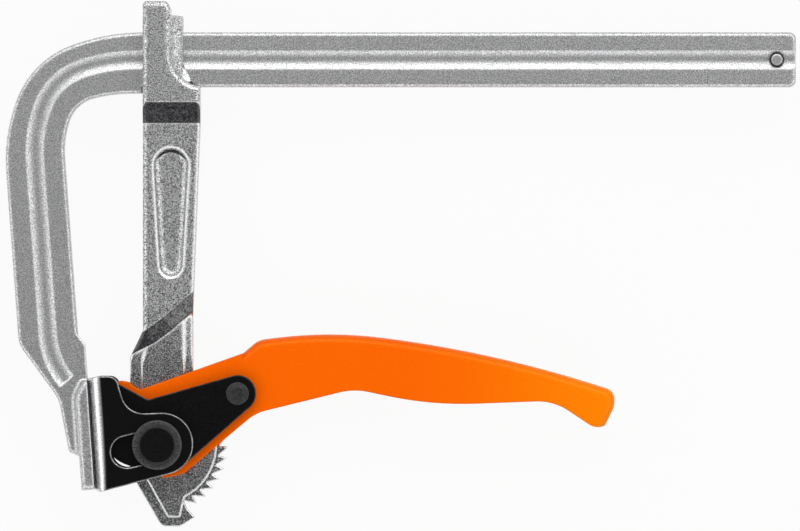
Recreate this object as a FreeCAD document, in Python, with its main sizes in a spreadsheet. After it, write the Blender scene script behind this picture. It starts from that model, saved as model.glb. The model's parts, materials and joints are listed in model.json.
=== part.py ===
import FreeCAD, Part
import math
import os
import re

import Sketcher

# Quick release bar clamp, closed, lying flat. Millimetres and degrees.
# X runs along the rail, Y from the jaws up to the rail, Z through the thickness.
# The origin is the centre of the fixed jaw's face.

SIZES = {
    # rail: a rolled flat bar, bent and forged into the fixed jaw at its left end
    "throat_depth": 123.4,
    "rail_height": 19.5,
    "rail_thickness": 9.5,
    "rail_reach": 250.4,
    "rail_edge_radius": 1.3,
    "rail_end_radius": 2.4,
    "groove_width": 6.6,
    "groove_depth": 0.9,
    "groove_end_angle": 36,
    # bend of the rail down into the leg, outer and inner edge
    "bend_height": 21.8,
    "leg_height": 21.2,
    "leg_back": 23.4,
    "leg_lean": 4.2,
    "outer_entry_radius": 74,
    "outer_entry_angle": 20.7,
    "outer_radius": 32.7,
    "outer_exit_radius": 60.9,
    "outer_exit_angle": 25.1,
    "inner_entry_radius": 50,
    "inner_entry_angle": 15.4,
    "inner_radius": 12,
    "inner_exit_radius": 33,
    "inner_exit_angle": 23.4,
    # fixed jaw
    "jaw_toe_in": 4,
    "pad_height": 39,
    "pad_width": 26,
    "pad_thickness": 4.6,
    "pad_corner_radius": 2,
    "pad_root_radius": 2,
    "heel_radius": 8,
    "heel_end_radius": 1.5,
    "neck_radius": 14,
    # stop pin at the rail's end
    "stop_pin_radius": 2.35,
    "stop_pin_inset": 6.8,
    "stop_pin_stand": 0.9,
    "stop_pin_dome": 0.4,
    # sliding arm: eye on the rail, shank, toothed sector
    "arm_left": 18.4,
    "arm_stop_gap": 0.25,
    "eye_clearance": 0.3,
    "eye_roof": 11,
    "eye_wall_width": 10,
    "eye_wall_half": 11,
    "cheek_width": 14.3,
    "cheek_half": 9.6,
    "cheek_fall": 3,
    "cheek_drop": 5.4,
    "cheek_sweep_radius": 11.5,
    "cheek_sweep_height": 12.1,
    "wall_edge_radius": 1.6,
    "shank_half": 6.75,
    "shank_top_width": 20.4,
    "shank_bottom_width": 17.8,
    "shank_edge_radius": 1.4,
    "shoulder_slope": 7.4,
    "foot_slope": 5.4,
    "foot_step": 0.15,
    "sector_half": 4.2,
    "border_half": 3.4,
    "recess_drop": 8.8,
    "recess_rise": 10.5,
    "recess_top_radius": 6.1,
    "recess_bottom_radius": 4,
    "recess_depth": 2.8,
    "recess_bed_radius": 2.2,
    # ratchet teeth, round the pivot
    "tooth_root_radius": 22,
    "tooth_tip_radius": 25.1,
    "tooth_pitch": 9.1,
    "tooth_lean": 0.56,
    "last_tooth_angle": 65.64,
    "tooth_gap_count": 11,
    "end_block_angle": 2.6,
    "land_end_angle": 2.4,
    "end_block_radius": 29,
    "land_radius": 20.8,
    # pivot pin with its two washers
    "pivot_x": 23.6,
    "pivot_y": -3.6,
    "pivot_radius": 5.5,
    "pivot_neck_radius": 4,
    "pivot_head_radius": 6.6,
    "pivot_head_height": 2,
    "washer_radius": 8.8,
    "washer_thickness": 1.3,
    "edge_chamfer": 0.4,
    "running_clearance": 0.05,
    "side_clearance": 0.2,
    # lever: a pressed channel, open along its underside
    "lever_reach": 162.2,
    "lever_wall": 2.3,
    "lever_inner_half": 4.5,
    "lever_bend_radius": 3.4,
    # cam plates, one on each side of the lever
    "cam_thickness": 3,
    "cam_base_radius": 8.4,
    "cam_lead": 4,
    "cam_step": 17.5,
    "cam_clearance": 0.2,
    "cam_end_radius": 6.54,
    "cam_top_slope": 15.5,
    "cam_bottom_slope": 41,
    "cam_size": 20,
    # pressure bracket: bent sheet that the cams push forward
    "jaw_gap": 0.35,
    "bracket_wall": 2.7,
    "bracket_height": 39.8,
    "bracket_side_wall": 3,
    "bracket_bend_radius": 5,
    "bracket_end_radius": 11,
    "bracket_low_slope": 16,
    "slot_rise": 13,
    "slot_ahead": 1.8,
    "slot_behind": 11.1,
    "slot_clearance": 0.15,
    # pawl on its rivet, inside the lever
    "rivet_reach": 33.8,
    "rivet_angle": 32.6,
    "rivet_radius": 2.5,
    "rivet_head_radius": 4,
    "rivet_flat_radius": 2.1,
    "rivet_head_height": 1.4,
    "rivet_rim": 0.5,
    "pawl_half": 2,
    "pawl_hub_radius": 5.5,
    "pawl_tooth": 9,
    "pawl_tooth_gap": 0.12,
    "pawl_depth": 0.48,
    "pawl_nose_angle": 3.4,
    "pawl_lift_angle": 14,
    "pawl_tail_length": 41,
    "pawl_tail_height": 4.4,
    "spacer_radius": 4.4,
    # torsion spring on the pawl's rivet
    "spring_wire": 0.55,
    "spring_radius": 3.6,
    "spring_pitch": 1,
    "spring_quarters": 7,
    "spring_leg": 16.4,
    "spring_short_leg": 12.3,
    "spring_clearance": 0.1,
    "spring_turn": 70,
    # the sketch overrun of every cut that leaves the solid
    "overrun": 6,
}

# Outlines as shares of one named size, measured from the pivot: x, y, corner radius.
LEVER_FORK_SHARES = [
    (0.058, -0.063, 0.031),
    (0.015, -0.073, 0.025),
    (-0.022, -0.055, 0.025),
    (-0.065, -0.027, 0.031),
    (-0.095, 0.041, 0.049),
    (-0.089, 0.141, 0.009),
    (-0.064, 0.137, 0.018),
    (-0.039, 0.120, 0.012),
]
LEVER_THROAT_SHARES = [(0.187, 0.0455, 0), (0.187, 0.200, 0)]
LEVER_TOP_SHARES = [(0.221, 0.229, 0.049), (0.261, 0.234, 0)]
LEVER_CROWN_SHARES = [(0.491, 0.234, 0)]
LEVER_BELLY_SHARES = [(0.600, 0.086, 0.800), (0.430, 0.122, 0.136)]
LEVER_NECK_SHARES = [(0.215, 0.069, 0.092), (0.150, 0.0144, 0)]
CAM_NOSE_SHARES = [(-0.700, 1.090, 0.075), (-1.000, 0.705, 0.250)]
CAM_HEEL_SHARES = [(-0.165, -0.495, 0.300), (0.345, -0.470, 0.350)]
CAM_NOTCH_SHARES = (-0.170, 0.800, 0.100)
BRACKET_SHARES = [(-0.269, 0.276, 0.201), (-0.367, 0.611, 0.088), (-0.520, 0.611, 0.050)]
BRACKET_FOOT_SHARES = (-0.505, -0.420, 0.063)
SECTOR_LEFT_SHARES = [
    (-0.207, 1.610, 0.160),
    (-0.390, 1.235, 0.120),
    (-0.390, -0.394, 0.120),
    (0.056, -1.159, 0.120),
    (0.327, -1.159, 0.159),
]

# The same for the lever's tip, measured from its end: its upper side and its underside.
LEVER_TIP_SHARES = [(-0.047, 0.133, 0), (0.001, 0.118, 0.025), (0.001, 0.084, 0.040), (-0.064, -0.050, 0)]
LEVER_CHIN_SHARES = [(0.012, 0.096, 0), (-0.019, 0.020, 0.036), (-0.133, 0.096, 0.120)]

# The same for the shank's lower end, measured from its foot.
SHANK_FOOT_SHARES = [
    (0, -0.494, 0),
    (-0.219, -0.955, 0),
    (0.220, -0.740, 0),
    (0.590, -0.466, 0),
    (1, -0.112, 0),
]

doc = FreeCAD.newDocument("bar_clamp")
sheet = doc.addObject("Spreadsheet::Sheet", "Sizes")
derived = doc.addObject("App::VarSet", "Derived")
DERIVED_NAMES = []


def fill_sheet():
    for row, (name, size) in enumerate(SIZES.items(), start=1):
        sheet.set(f"A{row}", name)
        sheet.set(f"B{row}", str(size))
        sheet.setAlias(f"B{row}", name)
    doc.recompute()


def ref(text):
    """An expression in which every named size says where it is kept."""
    def place(match):
        word = match.group(0)
        if word in SIZES:
            return "Sizes." + word
        return "Derived." + word if word in DERIVED_NAMES else word
    return re.sub(r"[a-z_][a-z0-9_]*", place, text)


def derive(name, text):
    """A size worked out from the driving ones, kept under its own name."""
    derived.addProperty("App::PropertyFloat", name)
    derived.setExpression(name, ref(text))
    DERIVED_NAMES.append(name)
    doc.recompute()


def amount(text):
    return float(sheet.evalExpression(ref(text)))


class Corner:
    """One corner of an outline, with the edge that leaves it.

    fillet: radius of the rounded corner. arc: radius of the edge that leaves the corner.
    turn: 1 if that arc runs anticlockwise. smooth: that arc starts in line with the edge before it.
    """

    def __init__(self, x, y, fillet=None, arc=None, turn=1, smooth=False):
        self.x = x
        self.y = y
        self.fillet = fillet
        self.arc = arc
        self.turn = turn
        self.smooth = smooth

    def point(self):
        return FreeCAD.Vector(amount(self.x), amount(self.y), 0)


def share_corners(size, rows, x="pivot_x", y="pivot_y", tall=None):
    """Corners from a table of shares of one size, or of a second size for their heights."""
    corners = []
    for share_x, share_y, share_fillet in rows:
        fillet = f"{size} * {share_fillet}" if share_fillet else None
        corners.append(Corner(
            f"{x} + {size} * {share_x}", f"{y} + {tall or size} * {share_y}", fillet,
        ))
    return corners


def polar(radius, angle, x="pivot_x", y="pivot_y", **more):
    return Corner(f"{x} + ({radius}) * cos({angle})", f"{y} + ({radius}) * sin({angle})", **more)


def jaw_corner(ahead, up, **more):
    """A corner given by its distance in front of the fixed jaw's face and its height along it."""
    return Corner(
        f"({ahead}) * cos(jaw_toe_in) - ({up}) * sin(jaw_toe_in)",
        f"({ahead}) * sin(jaw_toe_in) + ({up}) * cos(jaw_toe_in)",
        **more,
    )


class Drawing:
    """Adds closed outlines to one sketch, with every corner bound to the named sizes."""

    def __init__(self, sketch):
        self.sketch = sketch

    def bind(self, constraint, text):
        index = self.sketch.addConstraint(constraint)
        self.sketch.setExpression(f"Constraints[{index}]", ref(text))

    def fix(self, geometry, end, corner):
        where = corner.point()
        self.bind(Sketcher.Constraint("DistanceX", -1, 1, geometry, end, where.x), corner.x)
        self.bind(Sketcher.Constraint("DistanceY", -1, 1, geometry, end, where.y), corner.y)

    def circle(self, x, y, radius):
        centre = FreeCAD.Vector(amount(x), amount(y), 0)
        round_edge = Part.Circle(centre, FreeCAD.Vector(0, 0, 1), amount(radius))
        geometry = self.sketch.addGeometry(round_edge, False)
        self.fix(geometry, 3, Corner(x, y))
        self.bind(Sketcher.Constraint("Radius", geometry, amount(radius)), radius)

    def outline(self, corners):
        count = len(corners)
        points = [corner.point() for corner in corners]
        starts = list(points)
        ends = list(points)
        fillets = {}
        for i, corner in enumerate(corners):
            if corner.fillet:
                before, after, edge = rounded(
                    points[i - 1], points[i], points[(i + 1) % count], amount(corner.fillet)
                )
                ends[i], starts[i], fillets[i] = before, after, edge
        edges = []
        heading = None
        for i, corner in enumerate(corners):
            start = starts[i]
            end = ends[(i + 1) % count]
            if corner.arc is None and not corner.smooth:
                geometry = self.sketch.addGeometry(Part.LineSegment(start, end), False)
                edges.append((geometry, 1, 2))
                heading = end - start
                continue
            if corner.smooth:
                radius = smooth_radius(start, end, heading)
            else:
                radius = amount(corner.arc)
            edge, heading = arc_between(start, end, radius, corner.turn)
            geometry = self.sketch.addGeometry(edge, False)
            edges.append((geometry, 1, 2) if corner.turn > 0 else (geometry, 2, 1))
        for i, corner in enumerate(corners):
            last, _, last_end = edges[i - 1]
            this, this_start, _ = edges[i]
            if i in fillets:
                self.join_fillet(fillets[i], corner, last, last_end, this, this_start)
                continue
            kind = "Tangent" if corner.smooth else "Coincident"
            self.sketch.addConstraint(Sketcher.Constraint(kind, last, last_end, this, this_start))
            self.fix(this, this_start, corner)
            if corner.arc:
                self.bind(Sketcher.Constraint("Radius", this, amount(corner.arc)), corner.arc)

    def join_fillet(self, fillet, corner, last, last_end, this, this_start):
        edge, turn = fillet
        geometry = self.sketch.addGeometry(edge, False)
        first, second = (1, 2) if turn > 0 else (2, 1)
        tip = self.sketch.addGeometry(Part.Point(corner.point()), True)
        self.fix(tip, 1, corner)
        for constraint in (
            Sketcher.Constraint("PointOnObject", tip, 1, last),
            Sketcher.Constraint("PointOnObject", tip, 1, this),
            Sketcher.Constraint("Tangent", last, last_end, geometry, first),
            Sketcher.Constraint("Tangent", geometry, second, this, this_start),
        ):
            self.sketch.addConstraint(constraint)
        self.bind(Sketcher.Constraint("Radius", geometry, amount(corner.fillet)), corner.fillet)


def rounded(before, corner, after, radius):
    """The arc that rounds a corner between two straight edges, and where it meets them."""
    to_before = (before - corner).normalize()
    to_after = (after - corner).normalize()
    half = to_before.getAngle(to_after) / 2
    reach = radius / math.tan(half)
    middle = (to_before + to_after).normalize()
    centre = corner + middle * (radius / math.sin(half))
    first = corner + to_before * reach
    second = corner + to_after * reach
    turn = 1 if (corner - before).cross(after - corner).z > 0 else -1
    return first, second, (arc_about(centre, radius, first, second, turn), turn)


def arc_about(centre, radius, first, second, turn):
    start, end = (first, second) if turn > 0 else (second, first)
    circle = Part.Circle(centre, FreeCAD.Vector(0, 0, 1), radius)
    a = math.atan2(start.y - centre.y, start.x - centre.x)
    b = math.atan2(end.y - centre.y, end.x - centre.x)
    return Part.ArcOfCircle(circle, a, b if b > a else b + 2 * math.pi)


def arc_between(start, end, radius, turn):
    """The arc of under a half circle between two points, and its heading at the end."""
    chord = end - start
    side = FreeCAD.Vector(-chord.y, chord.x, 0).normalize() * turn
    height = math.sqrt(max(radius * radius - chord.Length * chord.Length / 4, 0))
    centre = start + chord / 2 + side * height
    arm = end - centre
    return arc_about(centre, radius, start, end, turn), FreeCAD.Vector(-arm.y, arm.x, 0) * turn


def smooth_radius(start, end, heading):
    return (end - start).Length / (2 * math.sin(heading.getAngle(end - start)))


def new_body(label):
    body = doc.addObject("PartDesign::Body", label)
    body.Label = label
    return body


def new_sketch(body, name, plane="XY_Plane", x=None, y=None, z=None):
    """A sketch on one of the body's own planes, moved by the given expressions."""
    sketch = body.newObject("Sketcher::SketchObject", f"{body.Name}_{name}")
    support = [item for item in body.Origin.OriginFeatures if item.Role == plane][0]
    sketch.AttachmentSupport = [(support, "")]
    sketch.MapMode = "FlatFace"
    for axis, text in (("x", x), ("y", y), ("z", z)):
        if text:
            sketch.setExpression(f"AttachmentOffset.Base.{axis}", ref(text))
    doc.recompute()
    return sketch


def both_sides(feature, half):
    feature.SideType = "Symmetric"
    feature.setExpression("Length", ref(f"2 * ({half})"))


def plate(body, name, corners, half, holes=()):
    """Adds an outline, padded equally to the front and the back."""
    sketch = new_sketch(body, name)
    drawing = Drawing(sketch)
    drawing.outline(corners)
    for x, y, radius in holes:
        drawing.circle(x, y, radius)
    pad = body.newObject("PartDesign::Pad", f"{body.Name}_{name}_pad")
    pad.Profile = sketch
    both_sides(pad, half)
    doc.recompute()
    return pad


def cut_through(body, name, half, corners=(), holes=(), **place):
    """Cuts an outline or round holes equally to both sides of the sketch plane."""
    sketch = new_sketch(body, name, **place)
    drawing = Drawing(sketch)
    if corners:
        drawing.outline(corners)
    for x, y, radius in holes:
        drawing.circle(x, y, radius)
    pocket = body.newObject("PartDesign::Pocket", f"{body.Name}_{name}_cut")
    pocket.Profile = sketch
    both_sides(pocket, half)
    doc.recompute()
    return pocket


def mirror_front_to_back(body, features):
    mirror = body.newObject("PartDesign::Mirrored", f"{features[0].Name}_back")
    mirror.Originals = features
    mirror.MirrorPlane = ([f for f in body.Origin.OriginFeatures if f.Role == "XY_Plane"][0], [""])
    body.Tip = mirror
    doc.recompute()
    return mirror


def edge_names(shape, wanted):
    """Names of the shape's edges that the given test picks."""
    return [f"Edge{i}" for i, edge in enumerate(shape.Edges, start=1) if wanted(edge)]


def near(a, b, slack=1e-4):
    return abs(a - b) < slack


def flat_at(edge, z):
    """True for an edge that lies at this height, in front or behind."""
    return all(near(abs(v.Z), z) for v in edge.Vertexes) and near(abs(middle(edge).z), z)


def middle(edge):
    low, high = edge.ParameterRange
    return edge.valueAt((low + high) / 2)


def jaw_place(point):
    """How far a point lies ahead of the fixed jaw's face, and how far up along it."""
    lean = math.radians(amount("jaw_toe_in"))
    return (
        point.x * math.cos(lean) + point.y * math.sin(lean),
        point.y * math.cos(lean) - point.x * math.sin(lean),
    )


def dress(body, kind, base, name, edges, size_name, text):
    feature = body.newObject(f"PartDesign::{kind}", f"{body.Name}_{name}")
    feature.Base = (base, edges)
    feature.setExpression(size_name, ref(text))
    doc.recompute()
    return feature


def turned(label, half_profile, x="pivot_x", y="pivot_y"):
    """A round piece on an axis along Z: its half profile as radius and height expressions."""
    body = new_body(label)
    sketch = new_sketch(body, "profile", plane="XZ_Plane")
    Drawing(sketch).outline([Corner(radius, height) for radius, height in half_profile])
    spin = body.newObject("PartDesign::Revolution", f"{label}_spin")
    spin.Profile = sketch
    spin.ReferenceAxis = (sketch, ["V_Axis"])
    body.Placement.Base = FreeCAD.Vector(amount(x), amount(y), 0)
    doc.recompute()
    return body


def derive_sizes():
    derive("rail_top", "throat_depth + rail_height")
    derive("rail_middle", "throat_depth + rail_height / 2")
    derive("groove_turn_y", "pad_height * 0.905")
    derive("groove_end_radius", "pad_height * 0.73")
    derive("shoulder_x", "arm_left - arm_stop_gap")
    derive("lever_head", "rivet_reach * 4.8")
    derive("rivet_x", "pivot_x + rivet_reach * cos(rivet_angle)")
    derive("rivet_y", "pivot_y + rivet_reach * sin(rivet_angle)")
    derive("pivot_ahead", "pivot_x * cos(jaw_toe_in) + pivot_y * sin(jaw_toe_in)")
    derive("cam_reach", "pivot_ahead - jaw_gap - bracket_wall - cam_clearance")
    derive("lever_half", "lever_inner_half + lever_wall")
    derive("cam_outer", "lever_half + cam_thickness")
    derive("bracket_inner", "cam_outer + side_clearance")
    derive("bracket_outer", "bracket_inner + bracket_side_wall")
    derive("washer_inner", "bracket_outer + side_clearance")
    derive("washer_outer", "washer_inner + washer_thickness")
    derive("eye_bottom", "throat_depth - eye_clearance")
    derive("eye_top", "rail_top + eye_clearance")
    derive("arm_top", "rail_top + eye_roof")
    derive("shank_top", "throat_depth - 2 * shank_half + shank_edge_radius / 2")
    derive("slope_top", "shank_top + shoulder_slope")


def bend(side, top, back):
    """Names the four points of one edge of the bend: three arcs that turn the rail into the leg."""
    turn = f"(90 + leg_lean - {side}_exit_angle)"
    first = f"{side}_entry_angle"
    derive(
        f"{side}_run",
        f"{side}_entry_radius * sin({first}) + {side}_radius * (sin({turn}) - sin({first}))"
        f" + {side}_exit_radius * (cos(leg_lean) - sin({turn}))",
    )
    derive(
        f"{side}_drop",
        f"{side}_entry_radius * (1 - cos({first})) + {side}_radius * (cos({first}) - cos({turn}))"
        f" + {side}_exit_radius * (cos({turn}) + sin(leg_lean))",
    )
    derive(f"{side}_foot_y", f"({top}) - {side}_drop")
    derive(f"{side}_foot_x", f"-({back}) - {side}_foot_y * tan(leg_lean)")
    derive(f"{side}_start_x", f"{side}_foot_x + {side}_run")
    derive(f"{side}_first_x", f"{side}_start_x - {side}_entry_radius * sin({first})")
    derive(f"{side}_first_y", f"({top}) - {side}_entry_radius * (1 - cos({first}))")
    derive(f"{side}_second_x", f"{side}_first_x - {side}_radius * (sin({turn}) - sin({first}))")
    derive(f"{side}_second_y", f"{side}_first_y - {side}_radius * (cos({first}) - cos({turn}))")


def rail_outline():
    inner_top = "rail_top - bend_height"
    heel_y = "pad_height * 0.82"
    return [
        Corner("rail_reach", "throat_depth", fillet="rail_end_radius"),
        Corner("rail_reach", "rail_top", fillet="rail_end_radius"),
        Corner("outer_start_x", "rail_top", arc="outer_entry_radius"),
        Corner("outer_first_x", "outer_first_y", arc="outer_radius"),
        Corner("outer_second_x", "outer_second_y", arc="outer_exit_radius"),
        Corner("outer_foot_x", "outer_foot_y"),
        Corner(f"-leg_back - {heel_y} * tan(leg_lean)", heel_y, fillet="heel_radius"),
        Corner("-pad_thickness * 2.52", "pad_height * 0.323", fillet="neck_radius"),
        Corner("-pad_thickness * 1.72", "-pad_height * 0.16", fillet="heel_end_radius"),
        jaw_corner("-pad_thickness", "-pad_height * 0.19"),
        jaw_corner("-pad_thickness", "-pad_height / 2"),
        jaw_corner("0", "-pad_height / 2"),
        jaw_corner("0", "pad_height * 0.82"),
        Corner(
            "-leg_back + leg_height / cos(leg_lean) - pad_height * 0.9 * tan(leg_lean)",
            "pad_height * 0.9",
        ),
        Corner("inner_foot_x", "inner_foot_y", arc="inner_exit_radius", turn=-1),
        Corner("inner_second_x", "inner_second_y", arc="inner_radius", turn=-1),
        Corner("inner_first_x", "inner_first_y", arc="inner_entry_radius", turn=-1),
        Corner("inner_start_x", inner_top),
        Corner("shoulder_x", inner_top),
        Corner("shoulder_x", "throat_depth"),
    ]


def make_rail():
    """The rail, bent and forged in one with the leg and the fixed jaw's pad."""
    body = new_body("rail")
    bar = plate(body, "bar", rail_outline(), "rail_thickness / 2")
    half = amount("rail_thickness / 2")
    pad_edge = amount("-pad_thickness * 2")
    long_edges = edge_names(
        bar.Shape, lambda e: flat_at(e, half) and (middle(e).x < pad_edge or middle(e).y > half * 8)
    )
    dress(body, "Fillet", bar, "edges", long_edges, "Radius", "rail_edge_radius")
    pad = plate(body, "pad", [
        jaw_corner("0", "-pad_height / 2"),
        jaw_corner("0", "pad_height / 2"),
        jaw_corner("-pad_thickness * 0.25", "pad_height / 2"),
        jaw_corner("-pad_thickness", "pad_height / 2 - pad_thickness * 1.19", fillet="heel_radius"),
        jaw_corner("-pad_thickness", "-pad_height / 2"),
    ], "pad_width / 2")
    side = amount("pad_width / 2")
    end = amount("pad_height / 2 - pad_thickness * 0.7")
    ends = edge_names(pad.Shape, lambda e: flat_at(e, side) and abs(jaw_place(middle(e))[1]) > end)
    rounded_pad = dress(body, "Fillet", pad, "pad_ends", ends, "Radius", "pad_corner_radius")
    back = amount("-pad_thickness")
    roots = edge_names(
        rounded_pad.Shape,
        lambda e: flat_at(e, half) and all(near(jaw_place(v.Point)[0], back) for v in e.Vertexes),
    )
    dress(body, "Fillet", rounded_pad, "pad_roots", roots, "Radius", "pad_root_radius")
    cut_groove(body)
    cut_through(body, "pin_hole", "rail_thickness", holes=[
        ("rail_reach - stop_pin_inset", "rail_middle", "stop_pin_radius"),
    ])
    return body


def cut_groove(body):
    """The shallow groove on both faces: along the rail, down the leg, and in towards the pad."""
    turn_x = "-leg_middle - groove_turn_y * tan(leg_lean)"
    path = new_sketch(body, "groove_path")
    drawing = Drawing(path)
    corners = [
        Corner("rail_reach + overrun", "rail_middle"),
        Corner("groove_start_x", "rail_middle", arc="groove_entry_radius"),
        Corner("groove_first_x", "groove_first_y", arc="groove_radius"),
        Corner("groove_second_x", "groove_second_y", arc="groove_exit_radius"),
        Corner("groove_foot_x", "groove_foot_y"),
        Corner(turn_x, "groove_turn_y", arc="groove_end_radius"),
        Corner(
            f"{turn_x} + groove_end_radius * (cos(leg_lean) - cos(leg_lean + groove_end_angle))",
            "groove_turn_y + groove_end_radius * (sin(leg_lean) - sin(leg_lean + groove_end_angle))",
        ),
    ]
    points = [corner.point() for corner in corners]
    last = None
    for i, corner in enumerate(corners[:-1]):
        if corner.arc:
            edge, _ = arc_between(points[i], points[i + 1], amount(corner.arc), 1)
        else:
            edge = Part.LineSegment(points[i], points[i + 1])
        geometry = path.addGeometry(edge, False)
        if last is not None:
            path.addConstraint(Sketcher.Constraint("Coincident", last, 2, geometry, 1))
        drawing.fix(geometry, 1, corner)
        if corner.arc:
            radius = amount(corner.arc)
            drawing.bind(Sketcher.Constraint("Radius", geometry, radius), corner.arc)
        last = geometry
    drawing.fix(last, 2, corners[-1])
    profile = new_sketch(body, "groove_profile", plane="YZ_Plane", z="rail_reach + overrun")
    face = "rail_thickness / 2"
    Drawing(profile).outline([
        Corner("rail_middle + groove_width / 2", face),
        Corner("rail_middle + groove_width / 2", f"{face} + groove_depth"),
        Corner("rail_middle - groove_width / 2", f"{face} + groove_depth"),
        Corner(
            "rail_middle - groove_width / 2", face,
            arc="groove_width ^ 2 / (8 * groove_depth) + groove_depth / 2",
        ),
    ])
    groove = body.newObject("PartDesign::SubtractivePipe", "rail_groove")
    groove.Profile = profile
    groove.Spine = (path, [])
    doc.recompute()
    mirror_front_to_back(body, [groove])


def make_stop_pin():
    """The pin pressed through the rail's end, which keeps the arm on the rail."""
    stand = "rail_thickness / 2 + stop_pin_stand"
    body = turned("rail_stop_pin", [
        ("0", f"-({stand})"),
        ("stop_pin_radius - stop_pin_dome", f"-({stand})"),
        ("stop_pin_radius", f"-({stand}) + stop_pin_dome"),
        ("stop_pin_radius", f"{stand} - stop_pin_dome"),
        ("stop_pin_radius - stop_pin_dome", stand),
        ("0", stand),
    ], x="rail_reach - stop_pin_inset", y="rail_middle")
    return body


def sector_outline():
    """The arm's plate below the shank, with the tooth crests still joined as one arc."""
    left = share_corners("tooth_tip_radius", SECTOR_LEFT_SHARES)
    return [
        Corner("arm_left", "shank_foot"),
        *left,
        polar("end_block_radius", "-last_tooth_angle + end_block_angle"),
        polar("tooth_tip_radius", "-last_tooth_angle", arc="tooth_tip_radius"),
        Corner("sector_right", "sector_right_y"),
        Corner("sector_right", "shank_foot"),
    ]


def land_outline():
    """The raised land in the middle of the sector, inside the teeth and the border."""
    return [
        Corner("arm_left + border_width", "shank_foot"),
        Corner("sector_left + border_width", "pivot_y + tooth_tip_radius * 1.14", fillet="border_width"),
        Corner("sector_left + border_width", "pivot_y - tooth_tip_radius * 0.35", fillet="border_width"),
        Corner("pivot_x + tooth_tip_radius * 0.15", "pivot_y - tooth_tip_radius * 1.02"),
        Corner("pivot_x + tooth_tip_radius * 0.31", "pivot_y - tooth_tip_radius * 1.02"),
        polar("land_radius", "-last_tooth_angle + land_end_angle", arc="land_radius"),
        Corner("land_right", "land_right_y"),
        Corner("land_right", "shank_foot"),
    ]


def shank_outline():
    return [
        Corner("arm_left", "shank_top"),
        *share_corners("shank_bottom_width", SHANK_FOOT_SHARES, x="arm_left", y="shank_foot"),
        Corner("arm_left + shank_top_width", "shank_top"),
    ]


def derive_arm_sizes():
    derive("sector_right", "arm_left + shank_bottom_width")
    derive("sector_left", "pivot_x - tooth_tip_radius * 0.39")
    derive("shank_foot", "pivot_y + tooth_tip_radius * 1.96")
    derive("border_width", "sector_half")
    derive("sector_right_y", "pivot_y + sqrt(tooth_tip_radius ^ 2 - (sector_right - pivot_x) ^ 2)")
    derive("land_right", "arm_left + shank_bottom_width - sector_half * 0.75")
    derive("land_right_y", "pivot_y + sqrt(land_radius ^ 2 - (land_right - pivot_x) ^ 2)")


def wall_outline():
    """The eye's thick wall, which sweeps out to the full width below the rail."""
    right = "arm_left + eye_wall_width"
    return [
        Corner("arm_left", "arm_top", fillet="shank_edge_radius"),
        Corner("arm_left", "shank_top"),
        Corner("arm_left + shank_top_width", "shank_top"),
        Corner(
            "arm_left + shank_top_width", "throat_depth + eye_clearance",
            arc="cheek_sweep_radius", turn=-1,
        ),
        Corner(right, "throat_depth + cheek_sweep_height"),
        Corner(right, "arm_top - eye_roof * 0.25"),
        Corner("arm_left + eye_wall_width * 0.85", "arm_top", fillet="shank_edge_radius"),
    ]


def cheek_outline():
    """The lower strip beside the eye's wall."""
    right = "arm_left + cheek_width"
    return [
        Corner("arm_left + eye_wall_width / 2", "arm_top - eye_roof * 0.38"),
        Corner("arm_left + eye_wall_width / 2", "slope_top"),
        Corner("arm_left + shank_top_width", "slope_top"),
        Corner("arm_left + shank_top_width", "throat_depth"),
        Corner(f"{right} + shank_half * 0.55", "throat_depth + eye_roof * 0.1"),
        Corner(right, "throat_depth + rail_height * 0.42"),
        Corner(right, "arm_top - cheek_drop"),
    ]


def make_shank(body):
    """The shank's bar, with its long slope down to the sector and its rounded long edges."""
    bar = plate(body, "shank", shank_outline(), "shank_half")
    half = amount("shank_half")
    foot = amount("shank_foot")
    lower = edge_names(
        bar.Shape, lambda e: flat_at(e, half) and middle(e).y < foot
        and abs(e.Vertexes[0].X - e.Vertexes[1].X) > abs(e.Vertexes[0].Y - e.Vertexes[1].Y)
    )
    slope = body.newObject("PartDesign::Chamfer", "sliding_arm_foot_slope")
    slope.Base = (bar, lower)
    slope.ChamferType = "Two distances"
    slope.setExpression("Size", ref("shank_half - sector_half - foot_step"))
    slope.setExpression("Size2", ref("foot_slope"))
    doc.recompute()
    left = amount("arm_left")
    long_edges = edge_names(
        slope.Shape, lambda e: flat_at(e, half) and all(near(v.X, left) for v in e.Vertexes)
    )
    dress(body, "Fillet", slope, "long_edges", long_edges, "Radius", "shank_edge_radius")


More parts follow.
